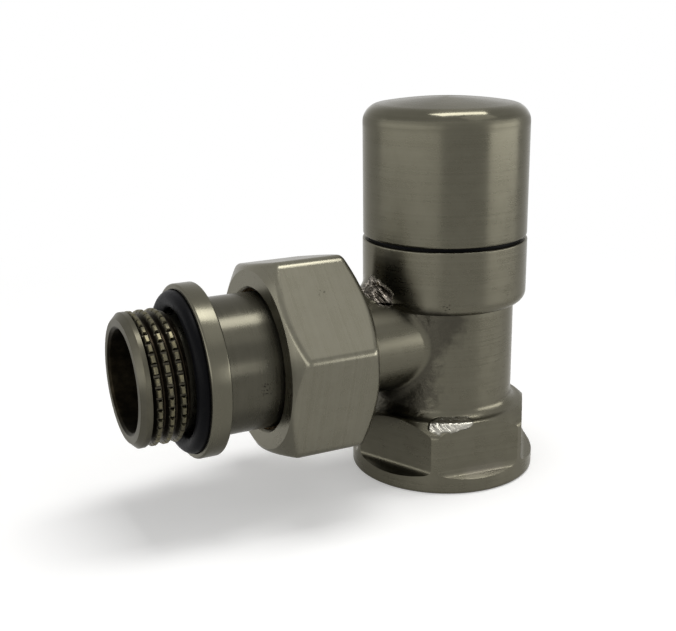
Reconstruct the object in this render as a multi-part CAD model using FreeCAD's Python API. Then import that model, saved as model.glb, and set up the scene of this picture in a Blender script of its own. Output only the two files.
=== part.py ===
import FreeCAD, Part
import math
import os

# Angle radiator shut-off valve. Lengths are millimetres, angles are degrees.
# The valve stands on its inlet face: z runs up the stem axis from the centre of that face.
# "Reach" is the distance from the stem axis along the outlet, which points to -X.

# Clearances
thread_play = 0.08      # radial play of a screwed pair drawn as plain cylinders
shaft_play = 0.05       # radial play of a shaft in its bore
end_gap = 0.30          # gap between faces that come near each other
seal_play = 0.04        # gap at a rubber ring's outer edge
cut_over = 1.0          # how far a cutting solid runs past the surface it opens

# Base of the body: round, with six flats milled down to a flange
flange_r = 15.85
flange_h = 3.30
flange_foot_round = 0.45
base_h = 12.30
base_flats = 28.00
base_turn = -36.0       # angle of the first corner, from -Y towards +X
flat_foot_round = 1.20
flat_foot_slope = 24.0  # how steeply a flat's foot runs out over the flange
crown_in = 1.95
crown_slope = 44.0
crown_round = 1.10
ledge_slope = 12.0

# Neck and collar
neck_ledge = 2.03       # ledge from the crown in to the neck
neck_foot_round = 1.50
collar_step = 2.02
collar_z = 29.80
collar_h = 10.77
collar_round = 1.95
collar_rim_round = 0.20

# Branch to the outlet
branch_z = 24.00
branch_r = 8.70
neck_blend = 2.40
collar_blend = 3.20
branch_shoulder = 21.00
union_step = 2.22       # the union thread stands this far over the tailpiece's tube
union_thread_len = 8.50
union_relief_depth = 1.12
union_relief_len = 1.20
union_chamfer = 0.90

# Ways through the body
inlet_thread_r = 9.3155
inlet_depth = 12.00
inlet_mouth_chamfer = 0.60
seat_lip_w = 1.10
seat_floor_z = 16.50
seat_lip_in = 0.40
seat_lip_h = 0.50
neck_wall = 3.07
chamber_round = 0.60
branch_bore_r = 6.50
cone_mouth_wall = 2.32
cone_depth = 3.50
cone_half_angle = 30.0

# Bonnet, screwed into the collar
bonnet_step = 1.00      # the cap's thread stands this far over the bonnet's own
bonnet_thread_z = 30.90
counterbore_depth = 2.40
bonnet_groove_h = 1.20
bonnet_groove_depth = 1.10
bonnet_groove_flare = 0.90
collar_wall = 1.84
cap_thread_top = 48.60
cap_thread_chamfer = 0.70
bonnet_hex_in = 2.50
bonnet_hex_h = 4.40
bonnet_hex_crown_out = 0.40
bonnet_hex_slope = 31.0
bonnet_nose_r = 6.80
bonnet_nose_h = 0.80
bonnet_recess_play = 0.40
bonnet_recess_depth = 1.60

# Stem: threaded spindle with a hexagon socket, carried in the bonnet
stem_thread_r = 5.00
stem_thread_len = 9.00
stem_shaft_r = 4.00
stem_top_z = 52.40
stem_edge_chamfer = 0.40
socket_flats = 5.00
socket_depth = 4.40
stem_groove_floor_r = 2.88
stem_groove_h = 1.40
stem_groove_first = 43.20
stem_groove_step = 2.80
stem_neck_r = 2.80
stem_neck_len = 3.80
button_r = 4.20
button_h = 1.60
plug_lift = 4.50

# Plug with its flat seat washer
washer_in = 0.90
washer_h = 2.40
washer_hole_r = 2.10
plug_play = 0.90
plug_rim_drop = 1.60
plug_disc_h = 2.00
plug_boss_in = 1.90
plug_slot_gap = 0.20
plug_slot_floor = 1.00
plug_lid_h = 2.80
screw_r = 2.00
screw_len = 4.20
screw_head_r = 3.20
screw_head_h = 1.40
screw_slot_w = 0.90
screw_slot_depth = 0.70
screw_hole_spare = 0.30

# Cap and the black ring under it
cap_gap = 0.57
cap_wall = 1.73
cap_h = 22.65
cap_crown = 1.43        # rise of the domed top from the side's line to the middle
cap_top_round = 3.00
cap_foot_round = 0.40
cap_cavity_in = 0.80
cap_cavity_round = 1.60
cap_top_wall = 2.90
cap_ring_in = 1.00

# Union nut
nut_back = 20.00
nut_len = 15.20
nut_wall = 2.05         # from the thread out to a flat
nut_turn = 12.3         # angle of the first corner, from -Y towards +Z
nut_corner_round = 2.20
nut_edge_round = 1.10
nut_front_crown_in = 0.85
nut_back_crown_in = 1.55
nut_crown_slope = 30.0
nut_lip = 2.50
nut_hole_play = 0.50
nut_hole_chamfer = 0.35

# Tailpiece
tube_step = 0.5225      # the tube stands this far over the outlet thread
tail_wall = 1.30
tail_bore_chamfer = 0.40
nose_gap = 0.60
tail_flange_back = 44.30
tail_flange_h = 3.20
tail_flange_step = 2.76
tail_flange_round = 0.35
ring_recess_lip = 0.86
ring_recess_depth = 1.20
tail_relief_depth = 1.1775
tail_relief_end = 49.10
tail_thread_r = 10.4775
tail_end = 57.05
tail_thread_chamfer = 0.90

# Rubber rings, named by the radius of their round section
face_ring_section = 1.40
nose_ring_section = 0.60
nose_ring_back = 1.20
bonnet_ring_section = 0.55
stem_ring_section = 0.55

# Wire ring that holds the union nut on the tailpiece
wire_r = 0.80
wire_groove_depth = 0.25
wire_opening = 24.0     # angle of the gap in the ring
wire_play = 0.10

# Sizes that follow from the ones above
crown_r = flange_r - crown_in
neck_r = crown_r - neck_ledge
collar_r = neck_r + collar_step
chamber_r = neck_r - neck_wall
plug_r = chamber_r - plug_play
plug_boss_r = plug_r - plug_boss_in
washer_r = plug_r - washer_in
seat_lip_r = washer_r - seat_lip_in
seat_bore_r = seat_lip_r - seat_lip_w
cap_thread_r = collar_r - shaft_play - collar_wall
bonnet_thread_r = cap_thread_r - bonnet_step
bonnet_hex_flats = 2 * (cap_thread_r - bonnet_hex_in)
bonnet_hex_crown_r = bonnet_hex_flats / 2 + bonnet_hex_crown_out
bonnet_recess_r = plug_boss_r + bonnet_recess_play
cap_r = cap_thread_r + thread_play + cap_wall
cap_cavity_r = cap_thread_r - cap_cavity_in
cap_ring_r = cap_r - cap_ring_in
tube_r = tail_thread_r + tube_step
union_thread_r = tube_r + union_step
union_relief_r = union_thread_r - union_relief_depth
cone_mouth_r = union_thread_r - cone_mouth_wall
nut_flats = 2 * (union_thread_r + thread_play + nut_wall)
nut_front_crown_r = nut_flats / 2 - nut_front_crown_in
nut_back_crown_r = nut_flats / 2 - nut_back_crown_in
nut_hole_r = tube_r + nut_hole_play
tail_flange_r = tube_r + tail_flange_step
ring_recess_r = tail_flange_r - ring_recess_lip
tail_relief_r = tail_thread_r - tail_relief_depth
tail_bore_r = tail_relief_r - tail_wall

# Places that follow from the sizes above
collar_top = collar_z + collar_h
counterbore_z = collar_top - counterbore_depth
cap_z = collar_top + cap_gap
seat_z = seat_floor_z + seat_lip_h
washer_top = seat_z + washer_h
plug_disc_top = washer_top + plug_disc_h
slot_floor_z = plug_disc_top + plug_slot_floor
button_z = slot_floor_z + plug_slot_gap
button_top = button_z + button_h
slot_roof_z = button_top + plug_slot_gap
plug_top = slot_roof_z + plug_lid_h
stem_thread_z = button_top + stem_neck_len
stem_thread_top = stem_thread_z + stem_thread_len
guide_z = stem_thread_top + plug_lift + 2 * end_gap
hex_top_z = cap_thread_top + bonnet_hex_h
bonnet_top = hex_top_z + bonnet_nose_h
branch_end = branch_shoulder + union_thread_len
cone_floor = branch_end - cone_depth
cone_rate = math.tan(math.radians(cone_half_angle))
cone_floor_r = cone_mouth_r - cone_depth * cone_rate
cone_skew = 1 / math.cos(math.radians(cone_half_angle))
nut_front = nut_back + nut_len
nut_shoulder = nut_front - nut_lip
wire_reach = nut_shoulder - wire_play - wire_r
tail_flange_front = tail_flange_back + tail_flange_h

ORIGIN = FreeCAD.Vector(0, 0, 0)
UP = FreeCAD.Vector(0, 0, 1)


def loop(corners, radii):
    """Closed wire through the corners, each rounded by an arc of its own radius."""
    count = len(corners)
    starts = []
    ends = []
    edges = []
    for i in range(count):
        corner = corners[i]
        back = corners[i - 1] - corner
        ahead = corners[(i + 1) % count] - corner
        if radii[i] == 0:
            starts.append(corner)
            ends.append(corner)
            edges.append(None)
            continue
        half = back.getAngle(ahead) / 2
        back.normalize()
        ahead.normalize()
        tangent = radii[i] / math.tan(half)
        towards = back + ahead
        towards.normalize()
        middle = corner + towards * (radii[i] / math.sin(half) - radii[i])
        starts.append(corner + back * tangent)
        ends.append(corner + ahead * tangent)
        edges.append(Part.Arc(starts[i], middle, ends[i]).toShape())
    wire = []
    for i in range(count):
        if edges[i]:
            wire.append(edges[i])
        following = starts[(i + 1) % count]
        if ends[i].distanceToPoint(following) > 1e-6:
            wire.append(Part.makeLine(ends[i], following))
    return Part.Wire(wire)


def turned(points):
    """Solid of revolution about Z from (r, z) or (r, z, corner radius) points."""
    corners = [FreeCAD.Vector(point[0], 0, point[1]) for point in points]
    radii = [point[2] if len(point) == 3 else 0 for point in points]
    return Part.Face(loop(corners, radii)).revolve(ORIGIN, UP, 360)


def domed_rod(radius, low, high, crown, top_round, foot_round):
    """Rod with a rounded foot, whose domed top meets its side through a round."""
    dome_r = (radius ** 2 + crown ** 2) / (2 * crown)
    dome_z = high - dome_r
    round_r = radius - top_round
    round_z = dome_z + math.sqrt((dome_r - top_round) ** 2 - round_r ** 2)
    meet = math.atan2(round_r, round_z - dome_z)

    def on_arc(centre_r, centre_z, arc_r, angle):
        return FreeCAD.Vector(centre_r + arc_r * math.sin(angle), 0, centre_z + arc_r * math.cos(angle))

    dome = [on_arc(0, dome_z, dome_r, meet * share) for share in (0, 0.5, 1)]
    rim = [on_arc(round_r, round_z, top_round, meet + (math.pi / 2 - meet) * share) for share in (0, 0.5, 1)]
    foot = [
        on_arc(radius - foot_round, low + foot_round, foot_round, math.pi * (0.5 + 0.5 * share))
        for share in (0, 0.5, 1)
    ]
    end = FreeCAD.Vector(0, 0, low)
    edges = [
        Part.Arc(*dome).toShape(),
        Part.Arc(dome[2], rim[1], rim[2]).toShape(),
        Part.makeLine(rim[2], foot[0]),
        Part.Arc(*foot).toShape(),
        Part.makeLine(foot[2], end),
        Part.makeLine(end, dome[0]),
    ]
    return Part.Face(Part.Wire(edges)).revolve(ORIGIN, UP, 360)


def rod(radius, low, high):
    return Part.makeCylinder(radius, high - low, FreeCAD.Vector(0, 0, low))


def ring(centre_r, section_r, z):
    return Part.makeTorus(centre_r, section_r, FreeCAD.Vector(0, 0, z))


def hexagon(flats, low, high, turn=0.0, corner_round=0.0):
    """Six-sided prism; turn is the first corner's angle from -Y towards +X."""
    corner_r = flats / math.sqrt(3)
    corners = []
    for i in range(6):
        angle = math.radians(turn + 60 * i)
        corners.append(FreeCAD.Vector(corner_r * math.sin(angle), -corner_r * math.cos(angle), low))
    face = Part.Face(loop(corners, [corner_round] * 6))
    return face.extrude(FreeCAD.Vector(0, 0, high - low))


def along_outlet(shape):
    """Lay a solid made along +Z over so that its z becomes the reach along the outlet."""
    shape.rotate(ORIGIN, FreeCAD.Vector(0, 1, 0), -90)
    shape.translate(FreeCAD.Vector(0, 0, branch_z))
    return shape


def stem_blank():
    """Round blank of base, neck and collar."""
    crown_z = base_h - (crown_r - neck_r) * math.tan(math.radians(ledge_slope))
    shoulder_z = crown_z - (flange_r - crown_r) * math.tan(math.radians(crown_slope))
    return turned([
        (0, 0),
        (flange_r, 0, flange_foot_round),
        (flange_r, shoulder_z, crown_round),
        (crown_r, crown_z, crown_round),
        (neck_r, base_h, neck_foot_round),
        (neck_r, collar_z),
        (collar_r, collar_z, collar_round),
        (collar_r, collar_top, collar_rim_round),
        (0, collar_top),
    ])


def flat_cutter(index):
    """What is milled away over one flat; its foot runs out over the flange."""
    near = base_flats / 2
    far = flange_r + cut_over
    foot_drop = (far - near) * math.tan(math.radians(flat_foot_slope))
    corners = [
        FreeCAD.Vector(near, -far, flange_h),
        FreeCAD.Vector(far, -far, flange_h - foot_drop),
        FreeCAD.Vector(far, -far, base_h + cut_over),
        FreeCAD.Vector(near, -far, base_h + cut_over),
    ]
    face = Part.Face(loop(corners, [flat_foot_round, 0, 0, 0]))
    cutter = face.extrude(FreeCAD.Vector(0, 2 * far, 0))
    cutter.rotate(ORIGIN, UP, base_turn - 60 + 60 * index)
    return cutter


def branch_arm():
    """Plain arm, then the larger end that carries the union thread."""
    return along_outlet(turned([
        (0, 0),
        (branch_r, 0),
        (branch_r, branch_shoulder),
        (union_relief_r, branch_shoulder),
        (union_relief_r, branch_shoulder + union_relief_len),
        (union_thread_r, branch_shoulder + union_relief_len),
        (union_thread_r, branch_end - union_chamfer),
        (union_thread_r - union_chamfer, branch_end),
        (0, branch_end),
    ]))


def inlet_way():
    mouth_r = inlet_thread_r + inlet_mouth_chamfer
    return turned([
        (0, -cut_over),
        (mouth_r + cut_over, -cut_over),
        (inlet_thread_r, inlet_mouth_chamfer),
        (inlet_thread_r, inlet_depth),
        (seat_bore_r, inlet_depth),
        (seat_bore_r, seat_z + cut_over),
        (0, seat_z + cut_over),
    ])


def chamber_way():
    bonnet_bore_r = bonnet_thread_r + thread_play
    counterbore_r = cap_thread_r + shaft_play
    return turned([
        (0, seat_z),
        (seat_lip_r, seat_z),
        (seat_lip_r, seat_floor_z),
        (chamber_r, seat_floor_z, chamber_round),
        (chamber_r, bonnet_thread_z - end_gap),
        (bonnet_bore_r, bonnet_thread_z - end_gap),
        (bonnet_bore_r, counterbore_z - bonnet_groove_flare),
        (bonnet_bore_r + bonnet_groove_flare, counterbore_z),
        (counterbore_r, counterbore_z),
        (counterbore_r, collar_top + cut_over),
        (0, collar_top + cut_over),
    ])


def outlet_way():
    return along_outlet(turned([
        (0, 0),
        (branch_bore_r, 0),
        (branch_bore_r, cone_floor),
        (cone_floor_r, cone_floor),
        (cone_mouth_r + cut_over * cone_rate, branch_end + cut_over),
        (0, branch_end + cut_over),
    ]))


def on_branch_foot(edge):
    """True for the edges where the arm grows out of the neck and the collar."""
    for point in edge.discretize(7):
        off_axis = math.hypot(point.y, point.z - branch_z)
        if abs(off_axis - branch_r) > 0.01 or point.x < -branch_shoulder + cut_over:
            return False
    return True


def blended_arm(core_r, core_top, blend):
    """The arm joined to one round of the stem by a hollow blend."""
    joined = rod(core_r, base_h, core_top).fuse(branch_arm()).removeSplitter()
    foot = [edge for edge in joined.Edges if on_branch_foot(edge)]
    return joined.makeFillet(blend, foot)


def valve_body():
    """One forging: base, neck, collar and arm, with the ways bored through them."""
    rim_z = collar_top - collar_rim_round
    over_edge = rod(branch_shoulder, collar_z + collar_round, rim_z)
    outside = stem_blank()
    for index in range(6):
        outside = outside.cut(flat_cutter(index))
    outside = outside.fuse(blended_arm(neck_r, rim_z, neck_blend))
    outside = outside.fuse(blended_arm(collar_r, rim_z, collar_blend).common(over_edge))
    return outside.cut(inlet_way()).cut(chamber_way()).cut(outlet_way())


def bonnet():
    """Threaded shank, thread for the cap, spanner hexagon and the stem's bores."""
    blank = turned([
        (0, bonnet_thread_z),
        (bonnet_thread_r, bonnet_thread_z),
        (bonnet_thread_r, counterbore_z - bonnet_groove_h),
        (bonnet_thread_r - bonnet_groove_depth, counterbore_z - bonnet_groove_h),
        (bonnet_thread_r - bonnet_groove_depth, counterbore_z),
        (cap_thread_r, counterbore_z),
        (cap_thread_r, cap_thread_top - cap_thread_chamfer),
        (cap_thread_r - cap_thread_chamfer, cap_thread_top),
        (0, cap_thread_top),
    ])
    hex_corner_r = bonnet_hex_flats / math.sqrt(3)
    hex_crown_drop = (hex_corner_r - bonnet_hex_crown_r) * math.tan(math.radians(bonnet_hex_slope))
    hex_crown = turned([
        (0, cap_thread_top),
        (hex_corner_r, cap_thread_top),
        (hex_corner_r, hex_top_z - hex_crown_drop),
        (bonnet_hex_crown_r, hex_top_z),
        (0, hex_top_z),
    ])
    head = hexagon(bonnet_hex_flats, cap_thread_top, hex_top_z).common(hex_crown)
    nose = rod(bonnet_nose_r, hex_top_z, bonnet_top)
    bores = turned([
        (0, bonnet_thread_z - cut_over),
        (bonnet_recess_r, bonnet_thread_z - cut_over),
        (bonnet_recess_r, bonnet_thread_z + bonnet_recess_depth),
        (stem_thread_r + thread_play, bonnet_thread_z + bonnet_recess_depth),
        (stem_thread_r + thread_play, guide_z),
        (stem_shaft_r + shaft_play, guide_z),
        (stem_shaft_r + shaft_play, bonnet_top + cut_over),
        (0, bonnet_top + cut_over),
    ])
    return blank.fuse(head).fuse(nose).cut(bores)


def bonnet_oring():
    centre_r = bonnet_thread_r - bonnet_groove_depth + bonnet_ring_section
    return ring(centre_r, bonnet_ring_section, counterbore_z - bonnet_ring_section - seal_play)


def stem_ring_z(index):
    return stem_groove_first + index * stem_groove_step


def spindle():
    """Button in the plug's slot, neck, thread, and the shaft with two ring grooves."""
    blank = turned([
        (0, button_z),
        (button_r, button_z),
        (button_r, button_top),
        (stem_neck_r, button_top),
        (stem_neck_r, stem_thread_z),
        (stem_thread_r - stem_edge_chamfer, stem_thread_z),
        (stem_thread_r, stem_thread_z + stem_edge_chamfer),
        (stem_thread_r, stem_thread_top - stem_edge_chamfer),
        (stem_thread_r - stem_edge_chamfer, stem_thread_top),
        (stem_shaft_r, stem_thread_top),
        (stem_shaft_r, stem_top_z - stem_edge_chamfer),
        (stem_shaft_r - stem_edge_chamfer, stem_top_z),
        (0, stem_top_z),
    ])
    for index in range(2):
        low = stem_ring_z(index) - stem_groove_h / 2
        groove = rod(stem_shaft_r + cut_over, low, low + stem_groove_h)
        blank = blank.cut(groove.cut(rod(stem_groove_floor_r, low, low + stem_groove_h)))
    return blank.cut(hexagon(socket_flats, stem_top_z - socket_depth, stem_top_z + cut_over))


def stem_oring(index):
    centre_r = stem_shaft_r + shaft_play - seal_play / 2 - stem_ring_section
    return ring(centre_r, stem_ring_section, stem_ring_z(index))


def plug():
    """Disc that holds the washer, and a boss with a side slot for the spindle's button."""
    blank = turned([
        (0, washer_top - plug_rim_drop),
        (plug_r, washer_top - plug_rim_drop),
        (plug_r, plug_disc_top),
        (plug_boss_r, plug_disc_top),
        (plug_boss_r, plug_top),
        (0, plug_top),
    ])
    washer_seat = rod(washer_r + shaft_play, washer_top - plug_rim_drop - cut_over, washer_top)
    screw_hole = rod(screw_r, washer_top, seat_z + screw_len + screw_hole_spare)
    blank = blank.cut(washer_seat).cut(screw_hole)
    for half_width, low, high in (
        (button_r + plug_slot_gap, slot_floor_z, slot_roof_z),
        (stem_neck_r + plug_slot_gap, slot_roof_z, plug_top + cut_over),
    ):
        corner = FreeCAD.Vector(-half_width, 0, low)
        slot = Part.makeBox(2 * half_width, plug_r + cut_over, high - low, corner)
        blank = blank.cut(slot.fuse(rod(half_width, low, high)))
    return blank


def seat_washer():
    return rod(washer_r, seat_z, washer_top).cut(rod(washer_hole_r, seat_z, washer_top))


def washer_screw():
    """Slotted screw, head down, that clamps the washer to the plug."""
    head_z = seat_z - screw_head_h
    blank = turned([
        (0, head_z),
        (screw_head_r, head_z, screw_head_h / 2),
        (screw_head_r, seat_z),
        (screw_r, seat_z),
        (screw_r, seat_z + screw_len),
        (0, seat_z + screw_len),
    ])
    corner = FreeCAD.Vector(-screw_head_r - cut_over, -screw_slot_w / 2, head_z - cut_over)
    slot = Part.makeBox(2 * (screw_head_r + cut_over), screw_slot_w, screw_slot_depth + cut_over, corner)
    return blank.cut(slot)


def cap():
    """Turned cup with a domed top, rounded at its rim, and a thread inside its mouth."""
    cap_top = cap_z + cap_h
    mouth_r = cap_thread_r + thread_play
    cavity = turned([
        (0, cap_z - cut_over),
        (mouth_r, cap_z - cut_over),
        (mouth_r, cap_thread_top + end_gap),
        (cap_cavity_r, cap_thread_top + end_gap),
        (cap_cavity_r, cap_top - cap_top_wall, cap_cavity_round),
        (0, cap_top - cap_top_wall),
    ])
    return domed_rod(cap_r, cap_z, cap_top, cap_crown, cap_top_round, cap_foot_round).cut(cavity)


def cap_ring():
    inner_r = cap_thread_r + thread_play
    return rod(cap_ring_r, collar_top, cap_z).cut(rod(inner_r, collar_top, cap_z))


def on_crown_edge(edge):
    """True for the nut's edges between its crowned ends and its sides."""
    if edge.Length < nut_edge_round:
        return False
    ends = (nut_back, nut_front)
    middle = edge.discretize(3)[1].z
    return min(abs(middle - end) for end in ends) > 1e-3 and abs(edge.BoundBox.ZLength) < nut_len / 2


def union_nut():
    """Hexagon nut with crowned ends, threaded at the back, with a lip at the front."""
    prism = hexagon(nut_flats, nut_back, nut_front, nut_turn, nut_corner_round)
    outer_r = nut_flats / math.sqrt(3)
    rate = math.tan(math.radians(nut_crown_slope))
    envelope = turned([
        (0, nut_back),
        (nut_back_crown_r, nut_back),
        (outer_r, nut_back + (outer_r - nut_back_crown_r) * rate),
        (outer_r, nut_front - (outer_r - nut_front_crown_r) * rate),
        (nut_front_crown_r, nut_front),
        (0, nut_front),
    ])
    thread_r = union_thread_r + thread_play
    hole = turned([
        (0, nut_back - cut_over),
        (thread_r + cut_over, nut_back - cut_over),
        (thread_r, nut_back),
        (thread_r, nut_shoulder),
        (nut_hole_r, nut_shoulder),
        (nut_hole_r, nut_front - nut_hole_chamfer),
        (nut_hole_r + nut_hole_chamfer + cut_over, nut_front + cut_over),
        (0, nut_front + cut_over),
    ])
    blank = prism.common(envelope)
    blank = blank.makeFillet(nut_edge_round, [edge for edge in blank.Edges if on_crown_edge(edge)])
    return along_outlet(blank.cut(hole))


def nose_r(reach):
    """Radius of the tailpiece's sealing cone, one gap inside the body's cone."""
    return cone_floor_r + (reach - cone_floor) * cone_rate - end_gap * cone_skew


def tailpiece():
    """Sealing cone, tube, flange with a ring recess, relief and outlet thread."""
    nose_tip = cone_floor + nose_gap
    nose_end = nose_tip + (tube_r - nose_r(nose_tip)) / cone_rate
    blank = turned([
        (tail_bore_r, nose_tip),
        (nose_r(nose_tip), nose_tip),
        (tube_r, nose_end),
        (tube_r, tail_flange_back),
        (tail_flange_r, tail_flange_back, tail_flange_round),
        (tail_flange_r, tail_flange_front, tail_flange_round),
        (ring_recess_r, tail_flange_front),
        (ring_recess_r, tail_flange_front - ring_recess_depth),
        (tail_relief_r, tail_flange_front - ring_recess_depth),
        (tail_relief_r, tail_relief_end),
        (tail_thread_r, tail_relief_end + tail_thread_r - tail_relief_r),
        (tail_thread_r, tail_end - tail_thread_chamfer),
        (tail_thread_r - tail_thread_chamfer, tail_end),
        (tail_bore_r + tail_bore_chamfer, tail_end),
        (tail_bore_r, tail_end - tail_bore_chamfer),
    ])
    wire_groove = ring(tube_r - wire_groove_depth + wire_r, wire_r, wire_reach)
    low = nose_ring_reach() - nose_ring_section
    high = nose_ring_reach() + nose_ring_section
    floor_r = nose_ring_r() - nose_ring_section
    nose_groove = rod(tube_r, low, high).cut(rod(floor_r, low, high))
    return along_outlet(blank.cut(wire_groove).cut(nose_groove))


def nose_ring_reach():
    return branch_end - nose_ring_back


def nose_ring_r():
    """Centre radius that leaves the ring's section just clear of the body's cone."""
    cone_r = cone_floor_r + (nose_ring_reach() - cone_floor) * cone_rate
    return cone_r - (nose_ring_section + seal_play) * cone_skew


def union_oring():
    return along_outlet(ring(nose_ring_r(), nose_ring_section, nose_ring_reach()))


def tail_face_oring():
    centre_r = ring_recess_r - seal_play - face_ring_section
    reach = tail_flange_front - ring_recess_depth + face_ring_section
    return along_outlet(ring(centre_r, face_ring_section, reach))


def snap_ring():
    """Open wire ring that sits in the tailpiece's groove behind the nut's lip."""
    centre_r = tube_r - wire_groove_depth + wire_r
    section = Part.Wire(Part.makeCircle(wire_r, FreeCAD.Vector(centre_r, 0, 0), FreeCAD.Vector(0, 1, 0)))
    wire = Part.Face(section).revolve(ORIGIN, UP, 360 - wire_opening)
    wire.translate(FreeCAD.Vector(0, 0, wire_reach))
    return along_outlet(wire)


pieces = {
    "valve_body": valve_body(),
    "bonnet": bonnet(),
    "bonnet_oring": bonnet_oring(),
    "spindle": spindle(),
    "spindle_oring_lower": stem_oring(0),
    "spindle_oring_upper": stem_oring(1),
    "plug": plug(),
    "seat_washer": seat_washer(),
    "washer_screw": washer_screw(),
    "cap": cap(),
    "cap_ring": cap_ring(),
    "union_nut": union_nut(),
    "tailpiece": tailpiece(),
    "tail_face_oring": tail_face_oring(),
    "union_oring": union_oring(),
    "snap_ring": snap_ring(),
}

os.makedirs("parts", exist_ok=True)
for name, shape in pieces.items():
    shape.exportStep("parts/" + name + ".step")
    print(name, "valid" if shape.isValid() else "NOT VALID", len(shape.Solids), round(shape.Volume, 1))
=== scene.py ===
import bpy
import bmesh
import math
from mathutils import Matrix, Vector


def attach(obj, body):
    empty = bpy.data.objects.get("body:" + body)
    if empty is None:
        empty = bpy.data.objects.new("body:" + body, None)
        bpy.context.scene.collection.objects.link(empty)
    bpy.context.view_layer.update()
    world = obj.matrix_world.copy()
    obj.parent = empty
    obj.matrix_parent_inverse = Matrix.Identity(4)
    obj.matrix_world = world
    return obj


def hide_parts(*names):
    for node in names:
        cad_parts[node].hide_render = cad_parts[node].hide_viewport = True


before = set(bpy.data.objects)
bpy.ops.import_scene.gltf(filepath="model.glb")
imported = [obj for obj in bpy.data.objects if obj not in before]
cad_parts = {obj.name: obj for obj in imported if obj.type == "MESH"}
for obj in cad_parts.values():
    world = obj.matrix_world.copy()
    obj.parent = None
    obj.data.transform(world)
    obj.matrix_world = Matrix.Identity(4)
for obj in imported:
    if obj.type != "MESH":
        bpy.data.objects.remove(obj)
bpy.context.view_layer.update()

# Lengths are in millimetres up to the mesh or node that uses them, and MM turns them into metres.
# Only the floor and the softboxes are given in metres.
# The stem stands on Z. The outlet points to -X, and a reach is the way along it from the stem.
MM = 0.001
OUTLET_Z = 24.0          # height of the outlet's axis
THREAD_PITCH = 1.814     # G1/2, at the inlet, the union and the outlet

# Colours, linear
WHITE = (1.0, 1.0, 1.0)
NICKEL = (0.087, 0.082, 0.061)
NICKEL_LIGHT = (0.098, 0.093, 0.070)
# painted light: the body's nickel is a slightly lighter copy of the cap's, for the light the floor
# throws onto it
BODY_NICKEL_LIT = (0.096, 0.090, 0.067)
BODY_NICKEL_LIT_LIGHT = (0.108, 0.102, 0.077)
# painted light: the nut's nickel is a lighter copy of the cap's, for the light the floor throws
# onto it
NUT_NICKEL_LIT = (0.130, 0.123, 0.094)
NUT_NICKEL_LIT_LIGHT = (0.146, 0.139, 0.108)
# painted shade: the tube's nickel is a darker copy of the cap's, standing in for the shade and
# dark reflections between the nut and the flange
TUBE_NICKEL_SHADED = (0.062, 0.059, 0.045)
TUBE_NICKEL_SHADED_LIGHT = (0.074, 0.070, 0.054)
EDGE_TINT = (0.78, 0.77, 0.74)   # keeps the metal from paling where it is seen edge-on
# painted highlight on the front ledge
LEDGE_HIGHLIGHT = (0.150, 0.135, 0.115)
# painted shade round the branch's foot, on the raw skin
RAW_SKIN_SHADE = (0.034, 0.031, 0.025)
# painted shade and painted glints for the crumpled casting skin above the branch
CAST_HOLLOW_SHADE = (0.060, 0.052, 0.043)
CAST_GLINT = (0.40, 0.36, 0.31)
# wear on the crown's corner, lightened as a painted highlight
WORN_HIGHLIGHT = (0.34, 0.33, 0.29)
PIT = (0.012, 0.011, 0.009)
# painted shade for the tailpiece's bore, in two tones
BORE_SHADE_DARK = (0.006, 0.005, 0.003)
BORE_SHADE_LIGHT = (0.016, 0.013, 0.008)
BRASS = (0.42, 0.27, 0.085)
BRASS_DULL = (0.22, 0.135, 0.045)
BRASS_STAINED = (0.20, 0.125, 0.045)
BRASS_RUBBED = (0.120, 0.108, 0.066)
# painted shade in thread grooves and roots
BRASS_GROOVE_SHADE = (0.014, 0.010, 0.006)
STEEL = (0.40, 0.40, 0.39)
STEEL_DULL = (0.30, 0.30, 0.29)
RUBBER = (0.0025, 0.0026, 0.0034)
RUBBER_DUSTY = (0.005, 0.005, 0.005)

# Grain of each noise: scale per millimetre, detail, roughness
FINE_MARKS = (2.8, 1.0, 0.5)
WIDE_MARKS = (0.9, 2.0, 0.5)
MOTTLE = (0.35, 3.0, 0.6)
CAST_GRIT = (1.1, 4.0, 0.65)
CAST_CREASE = (1.7, 2.0, 0.5)
RAW_WANDER = (0.35, 2.0, 0.5)
WEAR = (0.55, 2.0, 0.5)
CREST_WEAR = (1.4, 3.0, 0.6)
BODY_STAIN = (0.5, 4.0, 0.6)
BORE_STAIN = (0.6, 4.0, 0.6)
BRASS_STAIN = (0.4, 4.0, 0.6)
STEEL_MARKS = (2.0, 3.0, 0.6)
DUST = (2.2, 4.0, 0.6)

# Levels of a noise between which most of it lies
MID_LEVELS = (0.3, 0.7)
STAIN_LEVELS = (0.35, 0.7)


# ---------------------------------------------------------------- node graphs

SPOT_CORE = 0.35         # share of a spot's radius that is fully covered


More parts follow.
